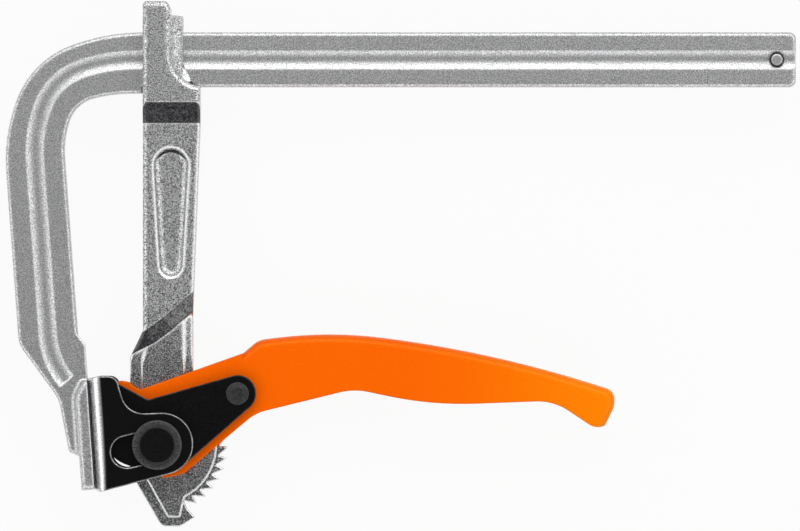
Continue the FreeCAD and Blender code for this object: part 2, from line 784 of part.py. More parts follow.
def make_eye(body):
    """The eye's wall and cheek, with the slopes that blend them into the shank."""
    plate(body, "cheek", cheek_outline(), "cheek_half")
    left = "arm_left + eye_wall_width"
    fall = cut_through(body, "cheek_fall", "rail_height", [
        Corner(left, "cheek_half"),
        Corner("arm_left + cheek_width", "cheek_half - cheek_fall"),
        Corner("arm_left + shank_top_width + overrun", "cheek_half - cheek_fall"),
        Corner("arm_left + shank_top_width + overrun", "cheek_half + side_clearance"),
        Corner(left, "cheek_half + side_clearance"),
    ], plane="XZ_Plane", z="-(throat_depth + rail_height)")
    mirror_front_to_back(body, [fall])
    plate(body, "wall", wall_outline(), "eye_wall_half")
    slope = cut_through(body, "wall_slope", "eye_wall_half * 8", [
        Corner("shank_top", "shank_half"),
        Corner("slope_top", "eye_wall_half"),
        Corner("slope_top", "eye_wall_half + side_clearance"),
        Corner("shank_top - side_clearance", "eye_wall_half + side_clearance"),
        Corner("shank_top - side_clearance", "shank_half"),
    ], plane="YZ_Plane")
    sloped = mirror_front_to_back(body, [slope])
    half = amount("eye_wall_half")
    rim = edge_names(
        sloped.Shape, lambda e: flat_at(e, half) and middle(e).y > amount("slope_top") + 1e-3
    )
    dress(body, "Fillet", sloped, "wall_edges", rim, "Radius", "wall_edge_radius")
    cut_through(body, "eye", "eye_wall_half * 8", [
        Corner("eye_bottom", "rail_thickness / 2 + eye_clearance"),
        Corner("eye_bottom", "-rail_thickness / 2 - eye_clearance"),
        Corner("eye_top", "-rail_thickness / 2 - eye_clearance"),
        Corner("eye_top", "rail_thickness / 2 + eye_clearance"),
    ], plane="YZ_Plane")


def make_arm():
    """The forged sliding arm: eye round the rail, recessed shank and toothed sector."""
    body = new_body("sliding_arm")
    plate(body, "sector", sector_outline(), "border_half")
    plate(body, "land", land_outline(), "sector_half")
    make_shank(body)
    make_eye(body)
    cut_recess(body)
    cut_teeth(body)
    cut_through(body, "pivot_hole", "shank_half", holes=[("pivot_x", "pivot_y", "pivot_radius")])
    return body


def cut_recess(body):
    """The tapered trough on each face of the shank."""
    x = "arm_left + eye_wall_width"
    top = "shank_top - recess_drop - recess_top_radius"
    low = "shank_foot + recess_rise + recess_bottom_radius"
    sketch = new_sketch(body, "recess", z="shank_half")
    drawing = Drawing(sketch)
    drawing.outline([
        Corner(f"{x} - recess_top_radius", top),
        Corner(f"{x} - recess_bottom_radius", low, arc="recess_bottom_radius * 1.0001"),
        Corner(f"{x} + recess_bottom_radius", low),
        Corner(f"{x} + recess_top_radius", top, arc="recess_top_radius * 1.0001"),
    ])
    pocket = body.newObject("PartDesign::Pocket", "sliding_arm_recess_cut")
    pocket.Profile = sketch
    pocket.setExpression("Length", ref("recess_depth"))
    doc.recompute()
    floor = amount("shank_half - recess_depth")
    edges = edge_names(pocket.Shape, lambda e: all(near(v.Z, floor) for v in e.Vertexes)
                       and near(middle(e).z, floor))
    bed = dress(body, "Fillet", pocket, "bed", edges, "Radius", "recess_bed_radius")
    mirror_front_to_back(body, [pocket, bed])


def cut_teeth(body):
    """Saw-shaped gaps round the pivot: a steep side facing up, a gentle side facing down."""
    sketch = new_sketch(body, "tooth_gap", x="pivot_x", y="pivot_y")
    drawing = Drawing(sketch)
    origin = {"x": "0", "y": "0"}
    drawing.outline([
        polar("tooth_root_radius", "-last_tooth_angle + tooth_lean", **origin),
        polar("tooth_tip_radius", "-last_tooth_angle", **origin),
        polar("tooth_tip_radius * 1.02", "-last_tooth_angle + tooth_pitch / 2", **origin),
        polar("tooth_tip_radius", "-last_tooth_angle + tooth_pitch", **origin),
    ])
    gap = body.newObject("PartDesign::Pocket", "sliding_arm_tooth_cut")
    gap.Profile = sketch
    both_sides(gap, "sector_half * 2")
    doc.recompute()
    teeth = body.newObject("PartDesign::PolarPattern", "sliding_arm_teeth")
    teeth.Originals = [gap]
    teeth.Axis = (sketch, ["N_Axis"])
    teeth.setExpression("Angle", ref("tooth_pitch * (tooth_gap_count - 1)"))
    teeth.Occurrences = int(amount("tooth_gap_count"))
    body.Tip = teeth
    doc.recompute()


def make_pivot_pin():
    """The shouldered pin through arm, lever, cams and bracket, riveted over the washers."""
    top = "washer_outer + pivot_head_height"
    return turned("pivot_pin", [
        ("0", f"-({top})"),
        ("pivot_head_radius - edge_chamfer", f"-({top})"),
        ("pivot_head_radius", f"-({top}) + edge_chamfer"),
        ("pivot_head_radius", "-washer_outer"),
        ("pivot_neck_radius", "-washer_outer"),
        ("pivot_neck_radius", "-washer_inner"),
        ("pivot_radius", "-washer_inner"),
        ("pivot_radius", "washer_inner"),
        ("pivot_neck_radius", "washer_inner"),
        ("pivot_neck_radius", "washer_outer"),
        ("pivot_head_radius", "washer_outer"),
        ("pivot_head_radius", f"{top} - edge_chamfer"),
        ("pivot_head_radius - edge_chamfer", top),
        ("0", top),
    ])


def make_washer(label, side):
    low, high = ("washer_inner", "washer_outer")
    return turned(label, [
        ("pivot_neck_radius", f"{side} * {low}"),
        ("washer_radius", f"{side} * {low}"),
        ("washer_radius", f"{side} * ({high} - edge_chamfer)"),
        ("washer_radius - edge_chamfer", f"{side} * {high}"),
        ("pivot_neck_radius", f"{side} * {high}"),
    ])


def lever_top():
    """The corners along the lever's back, from its throat to its tip."""
    _, throat = share_corners("lever_head", LEVER_THROAT_SHARES)
    top = share_corners("lever_head", LEVER_TOP_SHARES)
    crown = share_corners("lever_reach", LEVER_CROWN_SHARES, tall="lever_head")
    return [throat, *top, *crown, *tip_corners(LEVER_TIP_SHARES)]


def tip_corners(rows):
    return share_corners("lever_head", rows, x="pivot_x + lever_reach")


def smooth_crown(corners):
    """Lets the two edges that meet at the crown run on from each other as arcs."""
    for corner in corners[2:4]:
        corner.smooth = True
        corner.turn = -1
    return corners


def grip_outline():
    """The lever from its throat to its tip, before its underside is cut."""
    corners = smooth_crown(lever_top())
    return corners + [Corner(corners[0].x, corners[-1].y)]


def underside_outline():
    """What is cut away below the grip."""
    neck = share_corners("lever_head", LEVER_NECK_SHARES)
    return [
        *tip_corners(LEVER_CHIN_SHARES),
        *share_corners("lever_reach", LEVER_BELLY_SHARES, tall="lever_head"),
        *neck,
        Corner(neck[-1].x, "-lever_head / 6"),
        Corner("pivot_x + lever_reach * 1.15", "-lever_head / 6"),
    ]


def fork_outline():
    """The lever's two cheeks, which reach round the arm's sector to the pivot."""
    bottom, top = share_corners("lever_head", LEVER_THROAT_SHARES)
    return share_corners("lever_head", LEVER_FORK_SHARES) + [top, bottom]


def channel_outline():
    """The hollow of the channel: one wall inside the web, open below and at the fork."""
    outer = [*lever_top()[:-1], tip_corners(LEVER_CHIN_SHARES)[1]]
    walls = [
        (-0.2, -1.4), (0.3, -1), (0.12, -1), (-0.12, -1),
        (-0.3, -0.96), (-1, -0.7), (-1, 0.2), (-1.1, 0),
    ]
    inner = smooth_crown([
        Corner(f"{corner.x} + lever_wall * {wall_x}", f"{corner.y} + lever_wall * {wall_y}")
        for corner, (wall_x, wall_y) in zip(outer, walls)
    ])
    return [
        Corner("-lever_head / 8", "-lever_head / 4"),
        Corner("-lever_head / 8", "lever_head / 3"),
        Corner(inner[0].x, "lever_head / 3"),
        *inner,
        Corner("pivot_x + lever_reach - lever_head * 0.07", "-lever_head / 4"),
    ]


def make_lever():
    """The lever: two walls joined by a web along the top, forked round the arm."""
    body = new_body("lever")
    grip = plate(body, "grip", grip_outline(), "lever_half")
    half = amount("lever_half")
    throat = amount(grip_outline()[0].x)
    low = amount(grip_outline()[-1].y)
    bends = edge_names(
        grip.Shape,
        lambda e: flat_at(e, half) and middle(e).x > throat + half / 8 and middle(e).y > low + half / 8,
    )
    dress(body, "Fillet", grip, "bends", bends, "Radius", "lever_bend_radius")
    cut_through(body, "underside", "lever_half * 2", underside_outline())
    plate(body, "fork", fork_outline(), "lever_half")
    cut_through(body, "channel", "lever_inner_half", channel_outline())
    cut_through(body, "holes", "lever_half * 2", holes=[
        ("pivot_x", "pivot_y", "pivot_radius + running_clearance"),
        ("rivet_x", "rivet_y", "rivet_radius"),
    ])
    return body


def cam_nose():
    """The cam's working edge: an involute of its base circle, as four arcs."""
    corners = []
    for i in range(5):
        angle = f"(180 - cam_lead + jaw_toe_in + cam_step * {i})"
        reach = f"(cam_reach - cam_base_radius * (cam_step * {i} - cam_lead) * pi / 180)"
        mid = f"(cam_reach - cam_base_radius * (cam_step * {i + 0.5} - cam_lead) * pi / 180)"
        corners.append(Corner(
            f"pivot_x + {reach} * cos({angle}) + cam_base_radius * sin({angle})",
            f"pivot_y + {reach} * sin({angle}) - cam_base_radius * cos({angle})",
            arc=mid if i < 4 else None,
        ))
    return corners


def cam_outline():
    nose = share_corners("cam_size", CAM_NOSE_SHARES)
    heel = share_corners("cam_size", CAM_HEEL_SHARES)
    notch = share_corners("cam_size", [CAM_NOTCH_SHARES])
    return [
        *nose,
        *cam_nose(),
        *heel,
        Corner(
            "rivet_x + cam_end_radius * sin(cam_bottom_slope)",
            "rivet_y - cam_end_radius * cos(cam_bottom_slope)",
            arc="cam_end_radius * 1.00001",
        ),
        Corner("rivet_x + cam_end_radius", "rivet_y", arc="cam_end_radius * 1.00001"),
        Corner(
            "rivet_x - cam_end_radius * sin(cam_top_slope)",
            "rivet_y + cam_end_radius * cos(cam_top_slope)",
        ),
        *notch,
    ]


def make_cam(label, side):
    """One of the two cam plates, riveted to the outside of the lever."""
    body = new_body(label)
    lift = "lever_half" if side > 0 else "-lever_half - cam_thickness"
    sketch = new_sketch(body, "side", z=lift)
    drawing = Drawing(sketch)
    drawing.outline(cam_outline())
    drawing.circle("pivot_x", "pivot_y", "pivot_radius + running_clearance")
    drawing.circle("rivet_x", "rivet_y", "rivet_radius")
    pad = body.newObject("PartDesign::Pad", f"{label}_pad")
    pad.Profile = sketch
    pad.setExpression("Length", ref("cam_thickness"))
    doc.recompute()
    return body


def bracket_outline():
    upper = share_corners("bracket_height", BRACKET_SHARES)
    foot = share_corners("bracket_height", [BRACKET_FOOT_SHARES])
    end_x = "pivot_x + slot_ahead * cos(slot_rise)"
    end_y = "pivot_y + slot_ahead * sin(slot_rise)"
    return [
        jaw_corner("jaw_gap", "bracket_height / 2"),
        jaw_corner("jaw_gap", "-bracket_height / 2"),
        *foot,
        Corner(
            f"{end_x} + bracket_end_radius * sin(bracket_low_slope)",
            f"{end_y} - bracket_end_radius * cos(bracket_low_slope)",
            arc="bracket_end_radius * 1.00001",
        ),
        Corner(f"{end_x} + bracket_end_radius", end_y, arc="bracket_end_radius * 1.00001"),
        Corner(end_x, f"{end_y} + bracket_end_radius"),
        *upper,
    ]


def slot_outline():
    half = "(pivot_radius + slot_clearance)"
    corners = []
    for reach, turn in (("slot_ahead", -1), ("-slot_behind", 1)):
        for side in (turn, -turn):
            corners.append(Corner(
                f"pivot_x + ({reach}) * cos(slot_rise) - ({side}) * {half} * sin(slot_rise)",
                f"pivot_y + ({reach}) * sin(slot_rise) + ({side}) * {half} * cos(slot_rise)",
            ))
        corners[-2].arc = f"{half} * 1.0001"
    return corners


def make_bracket():
    """The pressure bracket: front plate and two slotted flanges, bent from one sheet."""
    body = new_body("pressure_bracket")
    blank = plate(body, "blank", bracket_outline(), "bracket_outer")
    half = amount("bracket_outer")
    front = edge_names(
        blank.Shape,
        lambda e: flat_at(e, half) and e.Length > amount("bracket_height") * 0.9,
    )
    dress(body, "Fillet", blank, "bends", front, "Radius", "bracket_bend_radius")
    inside = "jaw_gap + bracket_wall"
    cut_through(body, "inside", "bracket_inner", [
        jaw_corner(inside, "-bracket_height"),
        jaw_corner("jaw_gap + bracket_height * 2", "-bracket_height"),
        jaw_corner("jaw_gap + bracket_height * 2", "bracket_height"),
        jaw_corner(inside, "bracket_height"),
    ])
    cut_through(body, "slot", "bracket_outer * 2", slot_outline())
    return body


def make_pawl():
    """The pawl: hub, nose that drops into the teeth, and the release tail inside the lever."""
    body = new_body("pawl")
    gap = "pawl_tooth_gap"
    hub = "pawl_hub_radius"
    on_rivet = {"x": "rivet_x", "y": "rivet_y"}
    nose = [
        polar(f"pawl_tip_radius + {gap} * 2", "pawl_tip_angle"),
        polar("pawl_reach", "pawl_reach_angle + pawl_nose_angle", **on_rivet),
        polar("tooth_tip_radius * 1.12", "pawl_crest + tooth_pitch / 2", fillet=f"{hub} / 3"),
    ]
    tail = [
        Corner(f"rivet_x + {hub} * 0.55", f"rivet_y - {hub} * 0.95", fillet="pawl_half"),
        Corner("rivet_x + pawl_tail_length", "rivet_y + pawl_tail_height * 0.05", fillet="pawl_half / 2"),
        Corner("rivet_x + pawl_tail_length", "rivet_y + pawl_tail_height * 0.95", fillet="pawl_half / 2"),
        Corner(f"rivet_x + {hub} * 0.75", f"rivet_y + {hub} * 0.95", fillet="pawl_half"),
        Corner(f"rivet_x - {hub} * 0.6", f"rivet_y + {hub} * 0.95", fillet="pawl_half"),
        Corner(f"rivet_x - {hub}", f"rivet_y + {hub} * 0.3", fillet="pawl_half"),
        polar(f"tooth_tip_radius + {gap} * 4", "pawl_crest + tooth_pitch * 1.09"),
    ]
    plate(body, "blank", nose + tail, "pawl_half", holes=[
        ("rivet_x", "rivet_y", "rivet_radius + running_clearance"),
    ])
    centre = FreeCAD.Vector(amount("rivet_x"), amount("rivet_y"), 0)
    turn = FreeCAD.Rotation(FreeCAD.Vector(0, 0, 1), amount("pawl_lift_angle"))
    body.Placement = FreeCAD.Placement(FreeCAD.Vector(0, 0, 0), turn, centre)
    doc.recompute()
    return body


def derive_pawl_sizes():
    """Where the pawl's nose lies, so that it swings past the tooth crest that it holds."""
    derive("pawl_crest", "tooth_pitch * pawl_tooth - last_tooth_angle")
    derive("pawl_run", "rivet_x - pivot_x - tooth_tip_radius * cos(pawl_crest)")
    derive("pawl_rise", "rivet_y - pivot_y - tooth_tip_radius * sin(pawl_crest)")
    derive("pawl_reach", "sqrt(pawl_run ^ 2 + pawl_rise ^ 2) - pawl_tooth_gap")
    derive("pawl_reach_angle", "180 + atan2(pawl_rise; pawl_run) / (1 deg)")
    derive("pawl_tip_radius", "tooth_root_radius + (tooth_tip_radius - tooth_root_radius) * pawl_depth")
    derive("pawl_tip_angle", "pawl_crest + tooth_lean + (tooth_pitch - tooth_lean) * pawl_depth")


def make_rivet():
    top = "cam_outer + rivet_head_height"
    return turned("pawl_rivet", [
        ("0", f"-({top})"),
        ("rivet_flat_radius", f"-({top})"),
        ("rivet_head_radius", "-cam_outer - rivet_rim"),
        ("rivet_head_radius", "-cam_outer"),
        ("rivet_radius", "-cam_outer"),
        ("rivet_radius", "cam_outer"),
        ("rivet_head_radius", "cam_outer"),
        ("rivet_head_radius", "cam_outer + rivet_rim"),
        ("rivet_flat_radius", top),
        ("0", top),
    ], x="rivet_x", y="rivet_y")


def make_spacer():
    """The sleeve behind the pawl, which keeps it in the middle of the lever."""
    return turned("pawl_spacer", [
        ("rivet_radius", "-lever_inner_half"),
        ("spacer_radius", "-lever_inner_half"),
        ("spacer_radius", "-pawl_half - running_clearance * 2"),
        ("rivet_radius", "-pawl_half - running_clearance * 2"),
    ], x="rivet_x", y="rivet_y")


def derive_spring_sizes():
    """A quarter turn of the spring: an arc on a tilted chord, so that the next one meets it."""
    derive("spring_climb", "spring_pitch / 4")
    derive("spring_chord", "sqrt(2 * spring_radius ^ 2 + spring_climb ^ 2)")
    derive("spring_arc_radius", "spring_chord / sqrt(2)")
    derive("spring_arc_inset", "(spring_radius - spring_arc_radius) * cos(45)")
    derive("spring_tilt", "asin(spring_climb / spring_chord) / (1 deg)")


def add_part(kind, name, **sizes):
    item = doc.addObject(kind, name)
    for key, text in sizes.items():
        item.setExpression(key, ref(text))
    return item


def spring_spine():
    """The spring's centre line: quarter turns that climb, between two level legs."""
    upright = FreeCAD.Vector(0, 0, 1)
    climb = amount("spring_climb")
    count = int(amount("spring_quarters"))
    inset = FreeCAD.Vector(amount("spring_arc_inset"), 0, 0)
    tilt = FreeCAD.Rotation(FreeCAD.Vector(1, 0, 0), amount("spring_tilt"))
    across = {"X1": "spring_radius", "X2": "spring_radius", "Z2": "0"}
    spine = [add_part("Part::Line", "spring_leg_low", Y1="-spring_leg", Y2="0", **across)]
    for i in range(count):
        outward = FreeCAD.Rotation(upright, 90 * i + 45)
        arc = add_part("Part::Circle", f"spring_quarter_{i}", Radius="spring_arc_radius", Angle2="90")
        arc.Placement = FreeCAD.Placement(
            outward.multVec(inset) + upright * (climb * (i + 0.5)),
            outward.multiply(tilt).multiply(FreeCAD.Rotation(upright, -45)),
        )
        spine.append(arc)
    leg = add_part("Part::Line", "spring_leg_high", Y1="0", Y2="spring_short_leg", **across)
    leg.Placement = FreeCAD.Placement(upright * (climb * count), FreeCAD.Rotation(upright, 90 * count))
    doc.recompute()
    return [*spine, leg]


def least_gap(spine):
    """The least gap of the spring's wire to itself, half a turn or more along it."""
    wire = amount("spring_wire")
    points = [p for piece in spine for p in piece.Shape.Edges[0].discretize(Distance=wire / 2)]
    half_turn = int(math.pi * amount("spring_radius") / (wire / 2))
    nearest = min(
        a.distanceToPoint(b) for i, a in enumerate(points) for b in points[i + half_turn:]
    )
    return nearest - wire


def make_spring():
    """The torsion spring in front of the pawl: one round wire swept along its centre line."""
    spine = spring_spine()
    path = doc.addObject("Part::Compound", "spring_path")
    path.Links = spine
    ring = add_part("Part::Circle", "spring_ring", Radius="spring_wire / 2")
    ring.Placement = FreeCAD.Placement(
        spine[0].Shape.Vertexes[0].Point, FreeCAD.Rotation(FreeCAD.Vector(1, 0, 0), 90)
    )
    doc.recompute()
    spring = doc.addObject("Part::Sweep", "pawl_spring")
    spring.Sections = [ring]
    spring.Spine = (path, [f"Edge{i + 1}" for i in range(len(spine))])
    spring.Solid = True
    spring.Transition = "Transformed"
    spring.Label = "pawl_spring"
    height = amount("pawl_half + spring_clearance + spring_wire / 2")
    spring.Placement = FreeCAD.Placement(
        FreeCAD.Vector(amount("rivet_x"), amount("rivet_y"), height),
        FreeCAD.Rotation(FreeCAD.Vector(0, 0, 1), amount("spring_turn")),
    )
    doc.recompute()
    print("pawl_spring least gap to itself", round(least_gap(spine), 3))
    return spring


def build():
    fill_sheet()
    derive_sizes()
    derive_arm_sizes()
    derive_pawl_sizes()
    derive_spring_sizes()
    bend("outer", "rail_top", "leg_back")
    bend("inner", "rail_top - bend_height", "leg_back - leg_height / cos(leg_lean)")
    derive("leg_middle", "leg_back - leg_height / 2 / cos(leg_lean)")
    for part in ("entry_radius", "entry_angle", "radius", "exit_radius", "exit_angle"):
        derive(f"groove_{part}", f"(outer_{part} + inner_{part}) / 2")
    bend("groove", "rail_middle", "leg_middle")
    return [
        make_rail(),
        make_stop_pin(),
        make_arm(),
        make_pivot_pin(),
        make_washer("pivot_washer_front", 1),
        make_washer("pivot_washer_back", -1),
        make_lever(),
        make_cam("cam_plate_front", 1),
        make_cam("cam_plate_back", -1),
        make_bracket(),
        make_pawl(),
        make_rivet(),
        make_spacer(),
        make_spring(),
    ]


def check(pieces):
    doc.recompute()
    for item in doc.Objects:
        if "Invalid" in item.State or "Error" in item.State:
            raise RuntimeError(f"{item.Name} failed: {item.State}")
    for piece in pieces:
        if piece.Shape.isNull() or not piece.Shape.isValid():
            raise RuntimeError(f"{piece.Label} has no valid shape")
        print(piece.Label, "solids", len(piece.Shape.Solids), "volume", round(piece.Shape.Volume, 1))


def write(pieces):
    os.makedirs("parts", exist_ok=True)
    for piece in pieces:
        piece.Shape.exportStep(f"parts/{piece.Label}.step")


PIECES = build()
check(PIECES)
write(PIECES)
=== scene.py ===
import json
import math

import bpy
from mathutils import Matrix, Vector


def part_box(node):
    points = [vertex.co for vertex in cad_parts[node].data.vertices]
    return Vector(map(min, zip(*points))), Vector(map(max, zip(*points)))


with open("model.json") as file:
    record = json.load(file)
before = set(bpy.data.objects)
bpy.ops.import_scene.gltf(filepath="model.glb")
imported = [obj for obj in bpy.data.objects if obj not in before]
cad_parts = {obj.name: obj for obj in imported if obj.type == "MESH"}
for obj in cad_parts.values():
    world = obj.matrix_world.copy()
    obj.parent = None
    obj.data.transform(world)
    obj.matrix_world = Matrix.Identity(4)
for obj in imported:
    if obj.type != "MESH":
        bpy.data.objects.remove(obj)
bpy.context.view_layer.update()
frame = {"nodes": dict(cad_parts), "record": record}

# All lengths are in metres, in the part's own frame: X along the rail, Y from the jaws up
# to the rail, Z towards the camera. The clamp lies flat on a pale floor.

IMAGE_WIDTH = 800
IMAGE_HEIGHT = 531
METRES_PER_PIXEL = 0.3552e-3
JAW_PIXEL = (91.1, 434.5)
SENSOR_WIDTH = 36
CAMERA_DISTANCE = 4.0

STOP_PIN = (0.2436, 0.13315, 0)
STOP_PIN_RADIUS = 0.0022
STOP_PIN_STAND = 0.0009
RAIL_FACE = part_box("rail_stop_pin")[1].z - STOP_PIN_STAND
CLAMP_MIDDLE = Vector((0.11, 0.06, 0))
PIVOT = (0.0236, -0.0036, 0)

# Where a look changes over into another one, as a pair of start and end.
PIN_HEAD_EDGE = (0.0062, 0.0068)
WASHER_TO_RIVET = (0.010, 0.020)
BRACKET_BEND_END = (0.004, 0.006)
BRACKET_CHEEK = (0.0100, 0.0106)
ARM_HEAD_TO_SHANK = (0.02, 0.05)
ARM_HEAD_TOP = (0.024, 0.030)
LEVER_GRIP = (0.11, 0.20)

FLOOR_REACH = 3.0
FLOOR_GLOW = 0.93
# The ring of softboxes: pairs of direction's height (0 at the horizon, 1 overhead) and level.
SKY = ((0.0, 0.0), (0.14, 0.0), (0.32, 1.0), (0.73, 1.0), (0.86, 0.20), (1.0, 0.17))
SKY_STRENGTH = 1.45


def rgb(*values):
    return (*values, 1.0)


BLACK_DEEP = rgb(0.0008, 0.0008, 0.001)
BLACK_PALE = rgb(0.003, 0.003, 0.0034)


class Shader:
    """Builds one node material, with every node made by name and its sockets set in one call."""

    def __init__(self, name):
        self.material = bpy.data.materials.new(name)
        self.material.use_nodes = True
        self.tree = self.material.node_tree
        self.tree.nodes.clear()
        self.output = self.node("ShaderNodeOutputMaterial")
        where = self.node("ShaderNodeTexCoord").outputs
        self.place = where["Object"]
        self.facing = where["Normal"]

    def node(self, kind, settings=None, **sockets):
        made = self.tree.nodes.new(kind)
        for key, value in (settings or {}).items():
            setattr(made, key, value)
        for key, value in sockets.items():
            self.feed(made.inputs[key.replace("_", " ")], value)
        return made

    def feed(self, socket, value):
        if isinstance(value, bpy.types.NodeSocket):
            self.tree.links.new(value, socket)
        else:
            socket.default_value = value

    def noise(self, size, detail=3.0, roughness=0.55, stretch=(1, 1, 1)):
        """Cloudy noise whose lumps are about this large."""
        vector = self.place
        if stretch != (1, 1, 1):
            vector = self.node("ShaderNodeMapping", Vector=self.place, Scale=stretch).outputs[0]
        made = self.node(
            "ShaderNodeTexNoise", Vector=vector, Scale=1 / size, Detail=detail, Roughness=roughness
        )
        return made.outputs["Fac"]

    def axes(self, vector):
        """The vector's X, Y and Z by name."""
        return self.node("ShaderNodeSeparateXYZ", Vector=vector).outputs

    def reach(self, axis):
        """Distance from an upright axis through this point."""
        flat = self.node("ShaderNodeVectorMath", {"operation": "MULTIPLY"}, Vector=self.place)
        flat.inputs[1].default_value = (1, 1, 0)
        made = self.node(
            "ShaderNodeVectorMath", {"operation": "DISTANCE"}, Vector=flat.outputs["Vector"]
        )
        made.inputs[1].default_value = axis
        return made.outputs["Value"]

    def spread(self, value, low, high, to_low, to_high):
        """Takes a value smoothly from low..high over to to_low..to_high."""
        made = self.node("ShaderNodeMapRange", {"interpolation_type": "SMOOTHSTEP"}, Value=value)
        for socket, number in zip(made.inputs[1:5], (low, high, to_low, to_high)):
            self.feed(socket, number)
        return made.outputs["Result"]

    def rise(self, value, low, high):
        """0 below low, 1 above high."""
        return self.spread(value, low, high, 0.0, 1.0)

    def blend(self, factor, a, b):
        """a where the factor is 0, b where it is 1."""
        return self.spread(factor, 0.0, 1.0, a, b)

    def math(self, operation, a, b=0.0):
        made = self.node("ShaderNodeMath", {"operation": operation})
        self.feed(made.inputs[0], a)
        self.feed(made.inputs[1], b)
        return made.outputs[0]

    def times(self, a, b):
        return self.math("MULTIPLY", a, b)

    def mix(self, factor, a, b):
        """Colour a where the factor is 0, colour b where it is 1."""
        made = self.node("ShaderNodeMix", {"data_type": "RGBA"})
        self.feed(made.inputs["Factor"], factor)
        for socket, colour in zip([s for s in made.inputs if s.type == "RGBA"], (a, b)):
            self.feed(socket, colour)
        return [s for s in made.outputs if s.type == "RGBA"][0]

    def bump(self, height, depth, normal=None, strength=1.0):
        made = self.node("ShaderNodeBump", Height=height, Distance=depth, Strength=strength)
        if normal is not None:
            self.feed(made.inputs["Normal"], normal)
        return made.outputs["Normal"]

    def scale(self):
        """1 on the slopes that look away from the rail, which get painted shade: the dark
        reflection they show.
        """
        facing = self.axes(self.facing)
        away = self.spread(facing["Y"], -0.35, -0.2, 1.0, 0.0)
        return self.times(away, self.rise(self.math("ABSOLUTE", facing["Z"]), 0.5, 0.7))

    def soft_edges(self, radius):
        return self.node("ShaderNodeBevel", {"samples": 12}, Radius=radius).outputs["Normal"]

    def edge_mask(self, radius, low=0.02, high=0.25):
        """1 along the piece's sharp edges, 0 on its faces."""
        rounded = self.soft_edges(radius)
        flat = self.node("ShaderNodeNewGeometry").outputs["Normal"]
        made = self.node("ShaderNodeVectorMath", {"operation": "DOT_PRODUCT"})
        self.feed(made.inputs[0], rounded)
        self.feed(made.inputs[1], flat)
        return self.rise(self.math("SUBTRACT", 1.0, made.outputs["Value"]), low, high)

    def surface(self, **sockets):
        shader = self.node("ShaderNodeBsdfPrincipled", **sockets)
        self.feed(self.output.inputs["Surface"], shader.outputs[0])
        return self.material


def rail_steel():
    """Plated bar with a fine blasted grain, polished edges with a painted highlight on them and a
    dark seam round the stop pin.
    """
    s = Shader("rail_steel")
    grain = s.noise(0.00044, 3.0, 0.8)
    clouds = s.noise(0.012, 3.0)
    colour = s.mix(s.rise(grain, 0.40, 0.62), rgb(0.33, 0.332, 0.337), rgb(0.96, 0.962, 0.97))
    colour = s.mix(s.spread(clouds, 0.3, 0.75, 0.0, 0.25), colour, rgb(0.52, 0.522, 0.525))
    # Painted highlight: the edges are made nearly white, partly polished wear and partly the
    # highlight they catch.
    rim = s.edge_mask(0.0010, 0.02, 0.15)
    colour = s.mix(rim, colour, rgb(0.92, 0.92, 0.92))
    seam = s.math("ABSOLUTE", s.math("SUBTRACT", s.reach(STOP_PIN), STOP_PIN_RADIUS))
    colour = s.mix(s.spread(seam, 0.0001, 0.0004, 1.0, 0.0), colour, rgb(0.04, 0.04, 0.04))
    return s.surface(
        Base_Color=colour, Metallic=1.0,
        Normal=s.bump(grain, 0.00010, s.soft_edges(0.0011), 0.9),
        Roughness=s.blend(rim, s.spread(grain, 0.3, 0.7, 0.38, 0.28), 0.2),
    )


def forged_steel():
    """Blasted forging: dark pits and bright grains, painted shade on the slopes that face away from
    the rail, edges rubbed bright and painted with a highlight.
    """
    s = Shader("forged_steel")
    speckle = s.noise(0.00046, 3.0, 0.8)
    coarse = s.noise(0.0016, 4.0, 0.6)
    lumps = s.noise(0.009, 3.0)
    up = s.axes(s.place)["Y"]
    shade = s.math("ADD", s.times(speckle, 0.8), s.times(coarse, 0.2))
    grains = s.rise(
        shade,
        s.spread(up, *ARM_HEAD_TO_SHANK, 0.46, 0.41),
        s.spread(up, *ARM_HEAD_TO_SHANK, 0.64, 0.58),
    )
    colour = s.mix(grains, rgb(0.10, 0.102, 0.106), rgb(0.98, 0.983, 0.99))
    # Painted shade: the slopes that face away from the rail get a near-black colour.
    slope_shade_colour = s.mix(
        s.rise(shade, 0.45, 0.62), rgb(0.012, 0.012, 0.013), rgb(0.11, 0.11, 0.115)
    )
    colour = s.mix(s.scale(), colour, slope_shade_colour)
    # Painted highlight: the edges are made nearly white, partly rubbed wear and partly the
    # highlight they catch, and less of it on the shaded slopes.
    radius = s.spread(up, *ARM_HEAD_TOP, 0.0009, 0.0025)
    rim = s.times(s.edge_mask(radius, 0.01, 0.08), s.blend(s.scale(), 1.0, 0.15))
    colour = s.mix(s.times(rim, 0.9), colour, rgb(0.92, 0.92, 0.93))
    rough = s.bump(speckle, 0.00010, s.soft_edges(radius), s.blend(rim, 1.0, 0.25))
    return s.surface(
        Base_Color=colour, Metallic=1.0,
        Normal=s.bump(lumps, 0.0004, rough, 0.3),
        Roughness=s.blend(rim, s.spread(coarse, 0.35, 0.65, 0.38, 0.26), 0.18),
    )


def orange_paint():
    """Powder coat with a faint orange peel, with painted light making it a little lighter towards
    the tip.
    """
    s = Shader("orange_paint")
    peel = s.noise(0.0016, 2.0, 0.4)
    # Painted light: the base colour is lighter towards the tip, where the lever is lit more.
    colour = s.mix(
        s.rise(s.axes(s.place)["X"], *LEVER_GRIP),
        rgb(0.92, 0.122, 0.0003), rgb(0.95, 0.225, 0.0008),
    )
    return s.surface(
        Base_Color=colour,
        Normal=s.bump(peel, 0.00003, s.soft_edges(0.0009), 0.5),
        Roughness=s.spread(peel, 0.3, 0.7, 0.26, 0.34),
        Specular_IOR_Level=0.5, Specular_Tint=rgb(1.0, 0.60, 0.08),
    )


